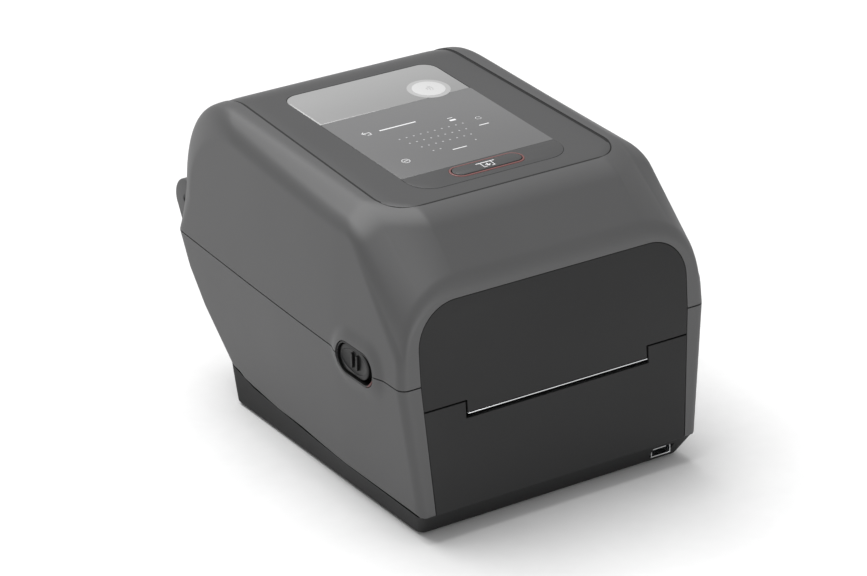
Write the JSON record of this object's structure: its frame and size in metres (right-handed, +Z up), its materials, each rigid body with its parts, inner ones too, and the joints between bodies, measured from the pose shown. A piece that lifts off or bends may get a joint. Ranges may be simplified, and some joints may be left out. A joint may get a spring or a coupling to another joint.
{
  "type": "desktop label printer",
  "caption": "Desktop thermal-transfer label maker with a hinged clamshell cover, touch display, feed button, side latches, platen and media bay.",
  "frame": {"origin": "on the ground under the middle of the printer", "axes": "+Z up, front face with the label slot towards -Y, +X to the right seen from the front"},
  "size_m": [0.2158, 0.28, 0.1882],
  "materials": {
    "case_grey": "fine satin texture, mid grey",
    "panel_black": "fine matt texture, near black",
    "tray_black": "matt, near black",
    "insert_grey": "smooth satin, dark grey",
    "lens_grey": "satin coated touch glass, grey",
    "pane_light": "milky light grey, satin",
    "disc_white": "white, satin",
    "ring_red": "dull red",
    "button_dark": "soft touch",
    "flag_red": "deep red",
    "inner_grey": "moulded grey",
    "rubber": "matt",
    "steel": "plain",
    "sheet_steel": "zinc plated sheet",
    "aluminium": "milled",
    "gear_white": "natural acetal",
    "board_green": "solder resist",
    "part_black": "moulded",
    "paper": "coated label paper",
    "card": "grey-brown card core",
    "film_black": "wax ribbon film",
    "brass": "sintered"
  },
  "bodies": {
    "base": {"base_tray": "tray_black", "lower_case": "case_grey", "front_panel_lower": "panel_black", "rubber_feet": "rubber", "case_screws": "steel", "media_chassis": "inner_grey", "platen_bearings": "brass", "stepper_motor": "steel", "main_board": "board_green", "board_components": "part_black", "connector_panel": "tray_black", "power_jack": "part_black", "usb_device_port": "steel", "network_port": "steel", "front_usb_port": "steel", "hinge_pins": "steel", "holder_rods": "steel", "sensor_rod": "steel", "label_web": "paper"},
    "platen": {"platen_shaft": "steel", "platen_rubber": "rubber", "platen_gear": "gear_white"},
    "idler": {"idler_gear": "gear_white"},
    "motor_rotor": {"motor_pinion": "brass"},
    "roll": {"label_roll": "paper", "roll_core": "card"},
    "left_holder": {"holder_left": "inner_grey"},
    "right_holder": {"holder_right": "inner_grey"},
    "holder_gear": {"holder_pinion": "gear_white"},
    "sensor": {"gap_sensor": "part_black"},
    "power_key": {"power_button": "button_dark"},
    "cover": {"cover_shell": "case_grey", "front_panel_upper": "panel_black", "tear_bar": "steel", "top_insert": "insert_grey", "display_lens": "lens_grey", "display_module": "sheet_steel", "display_board": "board_green", "window_pane": "pane_light", "reader_disc": "disc_white", "button_bezel": "insert_grey", "button_ring": "ring_red", "cover_frame": "sheet_steel", "head_pivot": "steel", "head_springs": "steel", "latch_housings": "button_dark", "latch_flags": "flag_red", "ribbon_motor": "steel"},
    "head": {"print_head": "aluminium", "head_bracket": "sheet_steel"},
    "ribbon_supply": {"ribbon_supply_spindle": "inner_grey", "ribbon_supply_roll": "film_black"},
    "ribbon_takeup": {"ribbon_takeup_spindle": "inner_grey", "ribbon_takeup_roll": "film_black", "ribbon_gear": "gear_white"},
    "ribbon_rotor": {"ribbon_pinion": "brass"},
    "feed_key": {"feed_button": "button_dark"},
    "left_latch": {"latch_left": "button_dark"},
    "right_latch": {"latch_right": "button_dark"}
  },
  "joints": [
    {"name": "cover_hinge", "type": "hinge", "parent": "base", "child": "cover", "pos_m": [0, 0.1275, 0.1145], "axis": [-1, 0, 0], "range_deg": [0, 90]},
    {"name": "platen_spin", "type": "hinge", "parent": "base", "child": "platen", "pos_m": [0, -0.118, 0.0636], "axis": [1, 0, 0], "continuous": true},
    {"name": "idler_spin", "type": "hinge", "parent": "base", "child": "idler", "pos_m": [0, -0.09965, 0.05075], "axis": [1, 0, 0], "continuous": true},
    {"name": "motor_spin", "type": "hinge", "parent": "base", "child": "motor_rotor", "pos_m": [0, -0.0902, 0.03438], "axis": [1, 0, 0], "continuous": true},
    {"name": "roll_spin", "type": "hinge", "parent": "base", "child": "roll", "pos_m": [0, 0.028, 0.1], "axis": [1, 0, 0], "continuous": true},
    {"name": "left_holder_slide", "type": "slide", "parent": "base", "child": "left_holder", "axis": [-1, 0, 0], "range_m": [0, 0.009]},
    {"name": "right_holder_slide", "type": "slide", "parent": "base", "child": "right_holder", "axis": [1, 0, 0], "range_m": [0, 0.009]},
    {"name": "holder_gear_spin", "type": "hinge", "parent": "base", "child": "holder_gear", "pos_m": [0, 0.028, 0.0401], "axis": [0, 0, 1], "range_deg": [-83, 0]},
    {"name": "sensor_slide", "type": "slide", "parent": "base", "child": "sensor", "axis": [1, 0, 0], "range_m": [-0.045, 0.045]},
    {"name": "power_press", "type": "slide", "parent": "base", "child": "power_key", "axis": [0, -0.6996, 0.7145], "range_m": [0, 0.0012], "stiffness_N_per_m": 300, "springref_m": -0.002},
    {"name": "head_pivot", "type": "hinge", "parent": "cover", "child": "head", "pos_m": [0, -0.092, 0.0868], "axis": [-1, 0, 0], "range_deg": [0, 2], "stiffness_Nm_per_rad": 2, "springref_deg": -11.46, "deforming": ["head_springs"]},
    {"name": "supply_spin", "type": "hinge", "parent": "cover", "child": "ribbon_supply", "pos_m": [0, -0.052, 0.128], "axis": [1, 0, 0], "continuous": true},
    {"name": "takeup_spin", "type": "hinge", "parent": "cover", "child": "ribbon_takeup", "pos_m": [0, -0.092, 0.138], "axis": [1, 0, 0], "continuous": true},
    {"name": "ribbon_motor_spin", "type": "hinge", "parent": "cover", "child": "ribbon_rotor", "pos_m": [0, -0.07652, 0.14884], "axis": [1, 0, 0], "continuous": true},
    {"name": "feed_press", "type": "slide", "parent": "cover", "child": "feed_key", "axis": [0, 0.038, -0.9993], "range_m": [0, 0.0008], "stiffness_N_per_m": 400, "springref_m": -0.002},
    {"name": "left_latch_slide", "type": "slide", "parent": "cover", "child": "left_latch", "axis": [0, -1, 0], "range_m": [0, 0.005], "stiffness_N_per_m": 250, "springref_m": -0.004},
    {"name": "right_latch_slide", "type": "slide", "parent": "cover", "child": "right_latch", "axis": [0, -1, 0], "range_m": [0, 0.005], "stiffness_N_per_m": 250, "springref_m": -0.004}
  ],
  "couplings": [
    {"joint": "idler_spin", "follows": "platen_spin", "ratio": -0.77778},
    {"joint": "motor_spin", "follows": "platen_spin", "ratio": 1.5556},
    {"joint": "right_holder_slide", "follows": "left_holder_slide", "ratio": 1},
    {"joint": "holder_gear_spin", "follows": "left_holder_slide", "rad_per_m": -158.73},
    {"joint": "ribbon_motor_spin", "follows": "takeup_spin", "ratio": -2},
    {"joint": "supply_spin", "follows": "takeup_spin", "ratio": 0.6}
  ]
}
